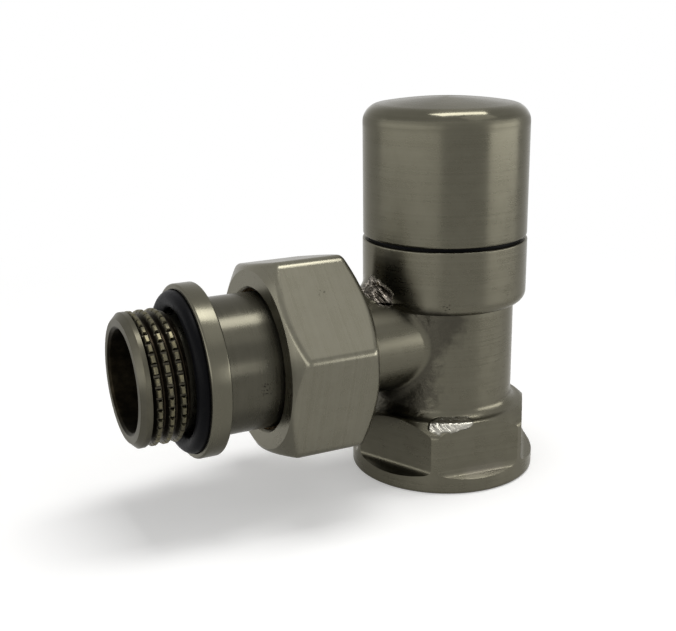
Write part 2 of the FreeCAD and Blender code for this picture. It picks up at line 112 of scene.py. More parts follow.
class Graph:
    """Short calls for building the nodes of one material or world."""

    def __init__(self, owner):
        owner.use_nodes = True
        self.owner = owner
        self.tree = owner.node_tree
        self.tree.nodes.clear()

    def node(self, kind, **settings):
        made = self.tree.nodes.new(kind)
        for key, value in settings.items():
            setattr(made, key, value)
        return made

    def put(self, socket, value):
        """Link a socket, or set its value."""
        if isinstance(value, bpy.types.NodeSocket):
            self.tree.links.new(value, socket)
        elif isinstance(value, tuple) and len(value) == 3 and socket.type == "RGBA":
            socket.default_value = (*value, 1.0)
        else:
            socket.default_value = value

    def fill(self, made, values):
        """Put values into a node's first inputs."""
        for socket, value in zip(made.inputs, values):
            self.put(socket, value)

    # Numbers

    def math(self, operation, a, b=0.0):
        made = self.node("ShaderNodeMath", operation=operation)
        self.fill(made, (a, b))
        return made.outputs[0]

    def add(self, a, b):
        return self.math("ADD", a, b)

    def subtract(self, a, b):
        return self.math("SUBTRACT", a, b)

    def larger(self, a, b):
        return self.math("MAXIMUM", a, b)

    def absolute(self, value):
        return self.math("ABSOLUTE", value)

    def times(self, first, *others):
        product = first
        for factor in others:
            product = self.math("MULTIPLY", product, factor)
        return product

    def smooth(self, value, span, start=0.0, end=1.0):
        """Ease from start to end while the value crosses the span."""
        made = self.node("ShaderNodeMapRange", interpolation_type="SMOOTHSTEP")
        self.put(made.inputs["Value"], value)
        self.put(made.inputs["From Min"], span[0])
        self.put(made.inputs["From Max"], span[1])
        self.put(made.inputs["To Min"], start)
        self.put(made.inputs["To Max"], end)
        return made.outputs["Result"]

    def rise(self, value, span):
        """0 below the span and 1 above it."""
        return self.smooth(value, span)

    def fall(self, value, span):
        """1 below the span and 0 above it."""
        return self.smooth(value, span, 1.0, 0.0)

    def band(self, value, limits):
        """0, then 1 between the second and the third limit, then 0."""
        return self.times(self.rise(value, limits[:2]), self.fall(value, limits[2:]))

    def blend(self, share, a, b):
        """Mix two numbers."""
        made = self.node("ShaderNodeMix", data_type="FLOAT")
        self.put(made.inputs[0], share)
        self.put(made.inputs[2], a)
        self.put(made.inputs[3], b)
        return made.outputs[0]

    # Colours and vectors

    def mix(self, share, a, b):
        """Mix two colours."""
        made = self.node("ShaderNodeMix", data_type="RGBA")
        self.put(made.inputs[0], share)
        self.put(made.inputs[6], a)
        self.put(made.inputs[7], b)
        return made.outputs[2]

    def vector(self, x, y, z):
        made = self.node("ShaderNodeCombineXYZ")
        self.fill(made, (x, y, z))
        return made.outputs[0]

    def split(self, vector):
        made = self.node("ShaderNodeSeparateXYZ")
        self.put(made.inputs[0], vector)
        return made.outputs

    def scaled(self, vector, factor):
        made = self.node("ShaderNodeVectorMath", operation="SCALE")
        self.put(made.inputs[0], vector)
        self.put(made.inputs["Scale"], factor)
        return made.outputs["Vector"]

    def vectors(self, operation, a, b):
        """Combine two vectors; a distance or a dot product comes out as a number."""
        made = self.node("ShaderNodeVectorMath", operation=operation)
        self.fill(made, (a, b))
        number = operation in ("DISTANCE", "DOT_PRODUCT")
        return made.outputs["Value" if number else "Vector"]

    def noise(self, vector, grain):
        scale, detail, rough = grain
        made = self.node("ShaderNodeTexNoise", normalize=True)
        self.put(made.inputs["Vector"], vector)
        self.put(made.inputs["Scale"], scale)
        self.put(made.inputs["Detail"], detail)
        self.put(made.inputs["Roughness"], rough)
        return made.outputs["Fac"]

    def bump(self, height, strength, depth, normal=None):
        made = self.node("ShaderNodeBump")
        self.put(made.inputs["Strength"], strength)
        self.put(made.inputs["Distance"], depth * MM)
        self.put(made.inputs["Height"], height)
        if normal is not None:
            self.put(made.inputs["Normal"], normal)
        return made.outputs["Normal"]

    # Shaders

    def shader(self, kind, **inputs):
        """Shader node with its inputs by name, an underscore for each space."""
        made = self.node(kind)
        for key, value in inputs.items():
            self.put(made.inputs[key.replace("_", " ")], value)
        return made.outputs[0]

    def join(self, kind, *inputs):
        """Add or mix shaders."""
        made = self.node(kind)
        self.fill(made, inputs)
        return made.outputs[0]

    def show(self, shader, output="ShaderNodeOutputMaterial"):
        """Send a shader to the output; gives back the finished material or world."""
        self.put(self.node(output).inputs[0], shader)
        return self.owner

    def principled(self, **inputs):
        return self.show(self.shader("ShaderNodeBsdfPrincipled", **inputs))


def material_graph(name):
    return Graph(bpy.data.materials.new(name))


class Place:
    """Where a point of the surface lies, in millimetres, for one material's graph."""

    def __init__(self, graph):
        self.graph = graph
        coordinates = graph.node("ShaderNodeTexCoord").outputs
        self.point = graph.scaled(coordinates["Object"], 1 / MM)
        self.x, self.y, self.z = graph.split(self.point)
        self.reach = graph.times(self.x, -1.0)
        self.up = graph.add(self.z, -OUTLET_Z)
        self.stem_r = self.distance(self.x, self.y)
        self.outlet_r = self.distance(self.y, self.up)
        facing_x, _, facing_z = graph.split(coordinates["Normal"])
        self.facing_x = graph.absolute(facing_x)
        self.facing_z = graph.absolute(facing_z)

    def distance(self, a, b):
        graph = self.graph
        return graph.math("SQRT", graph.add(graph.times(a, a), graph.times(b, b)))

    def spot(self, at, radius):
        """1 about a point, falling to 0 at the radius."""
        away = self.graph.vectors("DISTANCE", self.point, at)
        return self.graph.fall(away, (SPOT_CORE * radius, radius))

    def stroke(self, start, end, radius):
        """1 on the line between two points, falling to 0 at the radius from it."""
        graph = self.graph
        line = Vector(end) - Vector(start)
        arm = graph.vectors("SUBTRACT", self.point, start)
        share = graph.vectors("DOT_PRODUCT", arm, line / line.length_squared)
        held = graph.math("MINIMUM", graph.larger(share, 0.0), 1.0)
        away = graph.vectors("DISTANCE", arm, graph.scaled(line, held))
        return graph.fall(away, (0.0, radius))

    def streaks(self, direction, squeeze, grain):
        """Noise drawn out along a direction, by the share that is squeezed out of it."""
        graph = self.graph
        along = graph.vectors("DOT_PRODUCT", self.point, direction)
        back = graph.scaled(direction, graph.times(along, squeeze))
        return graph.noise(graph.vectors("SUBTRACT", self.point, back), grain)


# ---------------------------------------------------------------- metal

# Brushing: rings on the sides that turn into circles on the ends
END_ON = (0.70, 0.80)            # share of the normal along the axis at which an end begins
MARK_DRIFT = 0.005               # how little the marks change along their own way
MARK_BUMP = (0.02, 0.01)         # strength, and depth in millimetres
BRASS_BUMP = (0.25, 0.02)
ANISOTROPY = 0.68
QUARTER_TURN = 0.25              # the highlights blur across the marks
BRUSHED_LEVELS = (0.25, 0.75)    # of the marks, from dark to light nickel
MOTTLED_BY = 0.3                 # how far the mottles shift that, to either side
BRUSHED_ROUGH = (0.25, 0.29)
MOTTLED_ROUGH = (0.0, 0.03)

# Screw threads that are only bump and colour: the bump's depth, and the levels of a ridge's
# height at which its groove is painted dark as shade
PIPE_RIDGE_DEPTH = 0.9
GROOVE_LEVELS = (0.0, 0.45)
SPARE_TURNS = 50.0               # keeps the count of turns positive
CAP_PITCH = 1.5
CAP_RIDGE_DEPTH = 0.75
CAP_GROOVE_LEVELS = (0.0, 0.4)

# Pits: spots (a point and a radius), the grain of their noise, and the levels that make a pit
NUT_PITS = (((-27.8, -9.6, 36.3), 0.8),), (3.0, 2.0, 0.5), (0.55, 0.60)
TUBE_PITS = (((-38.0, -10.9, 22.8), 1.8),), (3.4, 2.0, 0.5), (0.58, 0.62)

# Masks: a pair is the span in which one rises or falls, and four numbers are a band's limits.
# They are radii from the piece's own axis, reaches, or heights over the standing face.

# The cap's top edge, as heights: a buffed rim over a matt band
CAP_BUFFED = (61.0, 61.5, 62.2, 62.8)
CAP_BUFFED_ROUGH = 0.14
CAP_MATT = (59.0, 59.8, 60.7, 61.2)
CAP_MATT_ROUGH = 0.38

# The nut's bare inside
NUT_BORE_R = (13.32, 13.42)
NUT_BORE_REACH = (20.1, 20.2, 34.6, 34.8)
NUT_THREAD_R = (13.2, 13.28)

# The tailpiece's flange, thread and bore
FLANGE_REACH = (44.2, 44.4, 47.5, 47.7)
TAIL_THREAD_REACH = (49.0, 49.6)
TAIL_END_RING = (55.2, 55.5)
TAIL_CREST_R = (10.10, 10.36)
TAIL_ROOT_R = (9.80, 10.20)
TAIL_THREAD_ROUGH = 0.40
CREST_WEAR_LEVELS = (0.35, 0.65)
CREST_WEAR_SHARES = (0.35, 1.0)
END_RING_SHARE = 0.12            # what is left of the crests' brass on the end ring
ROOT_COVER = 0.9
TAIL_BORE_R = (8.30, 8.60)
TAIL_BORE_ROUGH = 0.5


def mark_lines(graph, place, axis):
    """Coordinates that hardly change along the turning marks about an axis."""
    if axis == "stem":
        across = graph.blend(graph.rise(place.facing_z, END_ON), place.z, place.stem_r)
        return graph.vector(
            graph.times(place.x, MARK_DRIFT), graph.times(place.y, MARK_DRIFT), across)
    across = graph.blend(graph.rise(place.facing_x, END_ON), place.reach, place.outlet_r)
    return graph.vector(
        across, graph.times(place.y, MARK_DRIFT), graph.times(place.up, MARK_DRIFT))


def mark_height(graph, place, axis):
    """Height of the brushing, 0 to 1: fine scratches over wider streaks."""
    lines = mark_lines(graph, place, axis)
    both = graph.add(graph.noise(lines, FINE_MARKS), graph.noise(lines, WIDE_MARKS))
    return graph.times(both, 0.5)


def mark_direction(graph, axis):
    """World direction of the turning marks, for the stretched highlights."""
    if axis == "stem":
        centre, direction = (0.0, 0.0, 0.0), (0.0, 0.0, 1.0)
    else:
        centre, direction = (0.0, 0.0, OUTLET_Z * MM), (-1.0, 0.0, 0.0)
    position = graph.node("ShaderNodeNewGeometry").outputs["Position"]
    arm = graph.vectors("SUBTRACT", position, centre)
    return graph.vectors("CROSS_PRODUCT", direction, arm)


class Metal:
    """Turned metal in the making: colour, roughness and normal change patch by patch."""

    def __init__(self, name, axis):
        self.graph = material_graph(name)
        self.place = Place(self.graph)
        self.axis = axis
        self.marks = mark_height(self.graph, self.place, axis)
        self.colour = None
        self.rough = None
        self.normal = None

    def paint(self, share, colour):
        self.colour = self.graph.mix(share, self.colour, colour)

    def roughen(self, share, rough):
        self.rough = self.graph.blend(share, self.rough, rough)

    def emboss(self, height, strength, depth):
        self.normal = self.graph.bump(height, strength, depth, self.normal)

    def finish(self):
        return self.graph.principled(
            Base_Color=self.colour, Metallic=1.0, Roughness=self.rough, Normal=self.normal,
            Specular_Tint=EDGE_TINT, Anisotropic=ANISOTROPY, Anisotropic_Rotation=QUARTER_TURN,
            Tangent=mark_direction(self.graph, self.axis),
        )


def brushed_nickel(name, axis, dark, light):
    """Satin dark nickel, whose tone and roughness follow the marks and wander in mottles."""
    metal = Metal(name, axis)
    graph = metal.graph
    mottle = graph.noise(metal.place.point, MOTTLE)
    tone = graph.add(
        graph.rise(metal.marks, BRUSHED_LEVELS),
        graph.smooth(mottle, MID_LEVELS, -MOTTLED_BY, MOTTLED_BY),
    )
    metal.colour = graph.mix(tone, dark, light)
    metal.rough = graph.add(
        graph.smooth(metal.marks, MID_LEVELS, *BRUSHED_ROUGH),
        graph.smooth(mottle, MID_LEVELS, *MOTTLED_ROUGH),
    )
    return metal


def add_pits(metal, spots, grain, levels):
    """Dark pits where a noise is high, kept to a few spots."""
    graph, place = metal.graph, metal.place
    share = place.spot(*spots[0])
    for spot in spots[1:]:
        share = graph.larger(share, place.spot(*spot))
    pits = graph.rise(graph.noise(place.point, grain), levels)
    metal.paint(graph.times(share, pits), PIT)


def thread_ridges(graph, along, across_a, across_b, pitch):
    """Saw-tooth ridges of a right-hand screw thread, 0 at the root and 1 at the crest."""
    turns = graph.times(graph.math("ARCTAN2", across_b, across_a), 1 / (2 * math.pi))
    count = graph.subtract(graph.times(along, 1 / pitch), turns)
    phase = graph.math("FRACT", graph.add(count, SPARE_TURNS))
    return graph.absolute(graph.add(graph.times(phase, 2.0), -1.0))


def cap_material():
    """The cap's top edge is buffed bright over a matt band."""
    metal = brushed_nickel("nickel_cap", "stem", NICKEL, NICKEL_LIGHT)
    height = metal.place.z
    metal.roughen(metal.graph.band(height, CAP_MATT), CAP_MATT_ROUGH)
    metal.roughen(metal.graph.band(height, CAP_BUFFED), CAP_BUFFED_ROUGH)
    metal.emboss(metal.marks, *MARK_BUMP)
    return metal.finish()


def nut_material():
    """The nut is plated outside in a lighter copy of the nickel, which is painted light, with a
    bare brass thread inside whose grooves hold painted shade.
    """
    metal = brushed_nickel("nickel_nut", "outlet", NUT_NICKEL_LIT, NUT_NICKEL_LIT_LIGHT)
    graph, place = metal.graph, metal.place
    add_pits(metal, *NUT_PITS)
    inside = graph.times(
        graph.fall(place.outlet_r, NUT_BORE_R),
        graph.band(place.reach, NUT_BORE_REACH),
    )
    metal.paint(inside, BRASS)
    ridges = thread_ridges(graph, place.x, place.y, place.up, THREAD_PITCH)
    threaded = graph.times(graph.rise(place.outlet_r, NUT_THREAD_R), inside)
    # painted shade in the thread's grooves
    metal.paint(graph.times(graph.fall(ridges, GROOVE_LEVELS), threaded), BRASS_GROOVE_SHADE)
    metal.emboss(metal.marks, *MARK_BUMP)
    metal.emboss(graph.times(ridges, threaded), 1.0, PIPE_RIDGE_DEPTH)
    return metal.finish()


def tail_material():
    """The tube is plated in a darker copy of the nickel, which is painted shade; the thread's
    crests are rubbed to brass, and its roots and the bore are darkened with painted shade.
    """
    metal = brushed_nickel("nickel_tail", "outlet", TUBE_NICKEL_SHADED, TUBE_NICKEL_SHADED_LIGHT)
    graph, place = metal.graph, metal.place
    # the flange gets the plain nickel's light tone, without the tube's painted shade
    metal.paint(graph.band(place.reach, FLANGE_REACH), NICKEL_LIGHT)
    thread = graph.rise(place.reach, TAIL_THREAD_REACH)
    wear = graph.noise(place.point, CREST_WEAR)
    crest = graph.times(
        thread,
        graph.rise(place.outlet_r, TAIL_CREST_R),
        graph.smooth(place.reach, TAIL_END_RING, 1.0, END_RING_SHARE),
        graph.smooth(wear, CREST_WEAR_LEVELS, *CREST_WEAR_SHARES),
    )
    root = graph.times(
        thread,
        graph.fall(place.outlet_r, TAIL_ROOT_R),
        graph.fall(place.reach, TAIL_END_RING),
        ROOT_COVER,
    )
    metal.paint(crest, BRASS_RUBBED)
    # painted shade in the thread's roots
    metal.paint(root, BRASS_GROOVE_SHADE)
    add_pits(metal, *TUBE_PITS)
    # painted shade inside the bore, mottled by a noise
    bore = graph.fall(place.outlet_r, TAIL_BORE_R)
    stain = graph.rise(graph.noise(place.point, BORE_STAIN), STAIN_LEVELS)
    metal.paint(bore, graph.mix(stain, BORE_SHADE_DARK, BORE_SHADE_LIGHT))
    metal.roughen(thread, TAIL_THREAD_ROUGH)
    metal.roughen(bore, TAIL_BORE_ROUGH)
    metal.emboss(metal.marks, *MARK_BUMP)
    return metal.finish()


# ---------------------------------------------------------------- valve body

# Patches, at their places in the photograph. A stroke is two points and a radius.
ROUGH_CAST_STROKE = ((-14.9, -0.3, 33.6), (-13.9, -3.7, 32.4), 3.4)   # above the branch
WORN_HIGHLIGHT_STROKE = ((-8.1, -11.5, 11.4), (-3.8, -13.0, 11.9), 2.8)         # on the crown's corner
LEDGE_HIGHLIGHT_STROKE = ((-3.0, -14.2, 3.0), (2.0, -14.4, 3.2), 2.2)           # on the front ledge
COLLAR_PITS = (
    (((-6.9, -12.1, 31.7), 0.9), ((-4.6, -13.4, 29.9), 0.5)),
    (3.2, 2.0, 0.5), (0.56, 0.60),
)

# Skin left raw round the branch's foot, darkened with painted shade. Its edge lies at a distance
# from the branch's axis that grows with the height over or under RAW_NARROW_AT, and wanders.
RAW_EDGE = (6.0, 7.5)
RAW_NARROW_AT = -2.0             # height over the branch's axis
RAW_WIDENING = 0.5
RAW_WANDER_BY = 3.4
RAW_GRIT_BY = 1.4
RAW_INNER_R = (8.75, 9.1)        # the branch itself is brushed
RAW_HEIGHTS = (10.5, 12.5, 30.6, 31.6)
RAW_REACH = (0.5, 3.0)
RAW_COVER = 0.7
RAW_ROUGH = 0.34
RAW_DEPTH = 0.12

# Casting skin above the branch with painted glints and painted shade, wear with a painted
# highlight on the crown's corner, and a painted highlight on the ledge
RAGGED_BY = 0.9
RAGGED_LEVELS = (0.80, 1.00)
CREASE_WAY = (0.25, -0.80, -0.55)
CREASE_SQUEEZE = 0.78
GLINT_LEVELS = (0.45, 0.70)
CRUMPLE_DEPTH = 0.6
PATCH_ROUGH = 0.20
WORN_BELOW = (12.1, 12.5)
WORN_HIGHLIGHT_COVER = 0.9
WORN_RELIEF = 0.40
LEDGE_HIGHLIGHT_COVER = 0.3

# Bare ways inside
STEM_WAY_R = (11.30, 11.50)
INLET_R = (9.9, 10.0)
INLET_FACE_Z = (1.0, 1.5)
BRANCH_WAY_WIDENS = (24.0, 25.5)
BRANCH_WAY_R = (8.2, 11.0)
BRANCH_WAY_REACH = (5.0, 5.5)

# Threads of the inlet and the union, and the part of the branch that is turned
INLET_THREAD_R = (9.0, 9.1, 9.5, 9.6)
INLET_THREAD_TOP = (11.4, 12.0)
UNION_THREAD_R = (12.5, 12.9)
UNION_THREAD_REACH = (22.1, 22.3)
TURNED_REACH = (12.4, 13.6)
TURNED_R = (13.6, 14.2)


def ragged(graph, share, noise):
    """Give a soft patch a broken edge."""
    return graph.rise(graph.add(share, graph.times(noise, RAGGED_BY)), RAGGED_LEVELS)


def raw_zone(graph, place, grit):
    """Skin of the forging that the brushing leaves round the branch's foot, where the body is
    darkened with painted shade.
    """
    wander = graph.noise(place.point, RAW_WANDER)
    from_narrowest = graph.absolute(graph.add(place.up, -RAW_NARROW_AT))
    widening = graph.times(from_narrowest, RAW_WIDENING)
    wandering = graph.add(graph.times(wander, RAW_WANDER_BY), graph.times(grit, RAW_GRIT_BY))
    out = graph.subtract(place.outlet_r, graph.add(widening, wandering))
    return graph.times(
        graph.fall(out, RAW_EDGE),
        graph.rise(place.outlet_r, RAW_INNER_R),
        graph.band(place.z, RAW_HEIGHTS),
        graph.rise(place.reach, RAW_REACH),
    )


def add_rough_patches(metal, grit):
    """Casting skin above the branch, coloured with painted glints and painted shade, and wear with
    a painted highlight on the crown; gives back their crumpled height.
    """
    graph, place = metal.graph, metal.place
    wear = graph.noise(place.point, WEAR)
    rough_cast = ragged(graph, place.stroke(*ROUGH_CAST_STROKE), grit)
    worn_highlight = ragged(graph, place.stroke(*WORN_HIGHLIGHT_STROKE), wear)
    worn_highlight = graph.times(worn_highlight, graph.fall(place.z, WORN_BELOW))
    crease = place.streaks(CREASE_WAY, CREASE_SQUEEZE, CAST_CREASE)
    # painted glints along the creases, with painted shade between them
    glints_and_shade = graph.mix(graph.rise(crease, GLINT_LEVELS), CAST_HOLLOW_SHADE, CAST_GLINT)
    metal.paint(rough_cast, glints_and_shade)
    # wear on the crown's corner, with a painted highlight
    metal.paint(graph.times(worn_highlight, WORN_HIGHLIGHT_COVER), WORN_HIGHLIGHT)
    metal.roughen(graph.larger(rough_cast, worn_highlight), PATCH_ROUGH)
    return graph.times(graph.larger(rough_cast, graph.times(worn_highlight, WORN_RELIEF)), crease)


def bare_ways(metal):
    """Show brass on every surface inside the body."""
    graph, place = metal.graph, metal.place
    in_inlet = graph.fall(place.stem_r, INLET_R)
    off_inlet_face = graph.rise(place.z, INLET_FACE_Z)
    in_stem = graph.times(
        graph.fall(place.stem_r, STEM_WAY_R), graph.larger(in_inlet, off_inlet_face))
    branch_r = graph.smooth(place.reach, BRANCH_WAY_WIDENS, *BRANCH_WAY_R)
    in_branch = graph.times(
        graph.math("LESS_THAN", place.outlet_r, branch_r),
        graph.rise(place.reach, BRANCH_WAY_REACH),
    )
    stain = graph.rise(graph.noise(place.point, BODY_STAIN), STAIN_LEVELS)
    metal.paint(graph.larger(in_stem, in_branch), graph.mix(stain, BRASS, BRASS_STAINED))


def add_body_threads(metal):
    """Painted shade in the grooves of the inlet's and the union's threads; gives back the ridges'
    height.
    """
    graph, place = metal.graph, metal.place
    at_inlet = graph.times(
        graph.band(place.stem_r, INLET_THREAD_R), graph.fall(place.z, INLET_THREAD_TOP))
    at_union = graph.times(
        graph.rise(place.outlet_r, UNION_THREAD_R), graph.rise(place.reach, UNION_THREAD_REACH))
    inlet = thread_ridges(graph, place.z, place.x, place.y, THREAD_PITCH)
    union = thread_ridges(graph, place.x, place.y, place.up, THREAD_PITCH)
    ridges = graph.add(graph.times(inlet, at_inlet), graph.times(union, at_union))
    threaded = graph.larger(at_inlet, at_union)
    metal.paint(graph.times(graph.fall(ridges, GROOVE_LEVELS), threaded), BRASS_GROOVE_SHADE)
    return ridges


def body_material():
    """One forging: the stem is turned about Z and the branch about the outlet's axis."""
    # the body's nickel is lightened as painted light
    metal = brushed_nickel("nickel_body", "stem", BODY_NICKEL_LIT, BODY_NICKEL_LIT_LIGHT)
    graph, place = metal.graph, metal.place
    grit = graph.noise(place.point, CAST_GRIT)
    raw = raw_zone(graph, place, grit)
    # painted shade round the branch's foot; the roughness and grit of the raw skin are its own
    metal.paint(graph.times(raw, RAW_COVER), RAW_SKIN_SHADE)
    metal.roughen(raw, RAW_ROUGH)
    # painted highlight on the front ledge
    metal.paint(graph.times(place.stroke(*LEDGE_HIGHLIGHT_STROKE), LEDGE_HIGHLIGHT_COVER), LEDGE_HIGHLIGHT)
    crumples = add_rough_patches(metal, grit)
    add_pits(metal, *COLLAR_PITS)
    bare_ways(metal)
    ridges = add_body_threads(metal)
    on_branch = graph.times(
        graph.rise(place.reach, TURNED_REACH), graph.fall(place.outlet_r, TURNED_R))
    branch_marks = mark_height(graph, place, "outlet")
    metal.emboss(graph.blend(on_branch, metal.marks, branch_marks), *MARK_BUMP)
    metal.emboss(crumples, 1.0, CRUMPLE_DEPTH)
    metal.emboss(graph.times(raw, grit), 1.0, RAW_DEPTH)
    metal.emboss(ridges, 1.0, PIPE_RIDGE_DEPTH)
    return metal.finish()


# ---------------------------------------------------------------- inner parts

BRASS_LEVELS = (0.35, 0.65)      # of the marks, from dull to bright brass
BRASS_HALF_TONE = 0.5            # the marks and the stains make half of the tone each
BRASS_ROUGH = (0.26, 0.40)
BONNET_THREAD_R = (11.6, 11.9)
BONNET_THREAD_HEIGHTS = (41.0, 41.4, 48.2, 48.6)
BONNET_GROOVE_COVER = 0.8
STEEL_ROUGH = (0.22, 0.34)
DUST_LEVELS = (0.45, 0.8)
RUBBER_ROUGH = (0.38, 0.50)
RUBBER_SHEEN = 0.045
FINE_BUMP = (0.2, 0.02)          # strength, and depth in millimetres


def brass_material():
    """Bare turned brass, with the cap's thread as ridges on the bonnet."""
    metal = Metal("turned_brass", "stem")
    graph, place = metal.graph, metal.place
    stain = graph.noise(place.point, BRASS_STAIN)
    tone = graph.add(
        graph.smooth(metal.marks, BRASS_LEVELS, 0.0, BRASS_HALF_TONE),
        graph.smooth(stain, MID_LEVELS, 0.0, BRASS_HALF_TONE),
    )
    metal.colour = graph.mix(tone, BRASS_DULL, BRASS)
    metal.rough = graph.smooth(stain, MID_LEVELS, *BRASS_ROUGH)
    threaded = graph.times(
        graph.rise(place.stem_r, BONNET_THREAD_R), graph.band(place.z, BONNET_THREAD_HEIGHTS))
    ridges = thread_ridges(graph, place.z, place.x, place.y, CAP_PITCH)
    ridges = graph.times(ridges, threaded)
    groove = graph.times(graph.fall(ridges, CAP_GROOVE_LEVELS), threaded)
    # painted shade in the bonnet thread's grooves
    metal.paint(graph.times(groove, BONNET_GROOVE_COVER), BRASS_GROOVE_SHADE)
    metal.emboss(metal.marks, *BRASS_BUMP)
    metal.emboss(ridges, 1.0, CAP_RIDGE_DEPTH)
    return metal.finish()


def steel_material():
    graph = material_graph("bright_steel")
    marks = graph.noise(Place(graph).point, STEEL_MARKS)
    return graph.principled(
        Base_Color=graph.mix(marks, STEEL_DULL, STEEL), Metallic=1.0,
        Roughness=graph.smooth(marks, MID_LEVELS, *STEEL_ROUGH),
        Normal=graph.bump(marks, *FINE_BUMP),
    )


def rubber_material():
    graph = material_graph("black_rubber_ring")
    dust = graph.noise(Place(graph).point, DUST)
    return graph.principled(
        Base_Color=graph.mix(graph.rise(dust, DUST_LEVELS), RUBBER, RUBBER_DUSTY),
        Roughness=graph.smooth(dust, MID_LEVELS, *RUBBER_ROUGH), Specular_IOR_Level=RUBBER_SHEEN,
        Normal=graph.bump(dust, *FINE_BUMP),
    )


# ---------------------------------------------------------------- tailpiece

# Tailpiece, as in the CAD source
TUBE_R = 11.0
BORE_R = 8.0
NOSE_TIP = 26.60
NOSE_TIP_R = 8.8793
NOSE_SLOPE = 0.57735
FLANGE_BACK = 44.30
FLANGE_FRONT = 47.50
FLANGE_R = 13.76
FLANGE_ROUND = 0.35
RECESS_R = 12.90
RECESS_DEPTH = 1.20
RELIEF_R = 9.30
RELIEF_END = 49.10
TAIL_END = 57.05
THREAD_R = 10.4775
THREAD_CHAMFER = 0.90
NOSE_RING_AT = 28.30
NOSE_RING_FLOOR = 8.975
RING_HALF_W = 0.60
WIRE_AT = 31.80
WIRE_R = 0.80
WIRE_CENTRE_R = 11.55

# The outlet's thread, which the CAD source leaves plain
THREAD_DEPTH = 1.1615
THREAD_CREST_AT = 54.30  # reach of a crest on the side towards -Y
THREAD_START = 49.35
THREAD_FULL = 50.35
THREAD_CREST = 0.115     # half the crest's width, in pitches
THREAD_FLANK = 0.325     # a flank's width, in pitches
FLANK_EASE = 0.55        # how far a flank's straight line gives way to a rounded one
END_RING_FROM = 55.15    # from here to the end the outside is smooth
END_RING_TO = 55.45

# Its small edges
FOOT_ROUND = 0.15        # where the tube meets the flange
RECESS_ROUND = 0.12
WIRE_CLEAR = 1.0         # from the wire's middle to the plain tube
MOUTH_LAND = 1.3         # end face, measured out from the bore
MOUTH_CHAMFER = 0.4
MOUTH_ROUND = 0.15
NOSE_SETBACK = 0.3       # last row of the bore behind the nose's tip

# Fineness of the tailpiece's mesh
THREAD_STEP = 0.06
ARC_STEPS = 6
WIRE_STEPS = 8
SHARP_ANGLE = 32         # degrees; steeper edges stay sharp

# Grip nicks that cross the crests, so that packing holds on the thread
NICKS = 38
NICK_HALF_W = 0.34       # at the crest
NICK_FLAT_HALF_W = 0.16  # at its floor
NICK_DEPTH = 0.48
NICK_FROM = 50.2
NICK_TO = 55.25
NICK_COLUMNS = (NICK_FLAT_HALF_W, 0.25, NICK_HALF_W)   # mesh columns out from a nick's middle
LAND_COLUMNS = (0.60, 0.86, 1.13)                      # and on the land after it


def clamped(value):
    return min(max(value, 0.0), 1.0)


def eased(share):
    return share * share * (3 - 2 * share)


def along_outlet(reach, radius, angle):
    """Point at a reach along the outlet; the angle goes from +Y towards +Z."""
    return Vector((
        -reach * MM,
        radius * math.cos(angle) * MM,
        (OUTLET_Z + radius * math.sin(angle)) * MM,
    ))


def rounded(points):
    """Profile of (reach, radius, corner radius) points with each corner rounded by an arc."""
    profile = []
    for i, (reach, radius, corner_r) in enumerate(points):
        corner = Vector((reach, radius))
        if corner_r == 0:
            profile.append(corner)
            continue
        back = (Vector(points[i - 1][:2]) - corner).normalized()
        ahead = (Vector(points[i + 1][:2]) - corner).normalized()
        half = back.angle(ahead) / 2
        centre = corner + (back + ahead).normalized() * (corner_r / math.sin(half))
        start = corner + back * (corner_r / math.tan(half)) - centre
        end = corner + ahead * (corner_r / math.tan(half)) - centre
        sweep = math.atan2(start.x * end.y - start.y * end.x, start.dot(end))
        for step in range(ARC_STEPS + 1):
            angle = sweep * step / ARC_STEPS
            turned = Vector((
                start.x * math.cos(angle) - start.y * math.sin(angle),
                start.x * math.sin(angle) + start.y * math.cos(angle),
            ))
            profile.append(centre + turned)
    return profile


def wire_groove():
    """Arc of the wire ring's groove in the tube."""
    points = []
    half = math.acos((WIRE_CENTRE_R - TUBE_R) / WIRE_R)
    for step in range(WIRE_STEPS + 1):
        angle = -half + 2 * half * step / WIRE_STEPS
        points.append(Vector((
            WIRE_AT + WIRE_R * math.sin(angle),
            WIRE_CENTRE_R - WIRE_R * math.cos(angle),
        )))
    return points


def columns():
    """Angles of the tailpiece's columns, closer together at each nick."""
    period = 2 * math.pi * THREAD_R / NICKS
    next_nick = [period - offset for offset in reversed(NICK_COLUMNS)]
    offsets = [0.0, *NICK_COLUMNS, *LAND_COLUMNS, *next_nick]
    return [(i * period + offset) / THREAD_R for i in range(NICKS) for offset in offsets]


def thread_profile(phase):
    """Radius of a rounded 55 degree thread; the phase is 0 at the crest and 0.5 at the root."""
    away = abs(phase - round(phase))
    flank = clamped((away - THREAD_CREST) / THREAD_FLANK)
    return THREAD_R - THREAD_DEPTH * ((1 - FLANK_EASE) * flank + FLANK_EASE * eased(flank))


def nick_depth(angle):
    """Depth of the grip nicks at an angle round the thread."""
    period = 2 * math.pi / NICKS
    across = abs(angle / period - round(angle / period)) * period * THREAD_R
    side = (NICK_HALF_W - across) / (NICK_HALF_W - NICK_FLAT_HALF_W)
    return NICK_DEPTH * clamped(side)


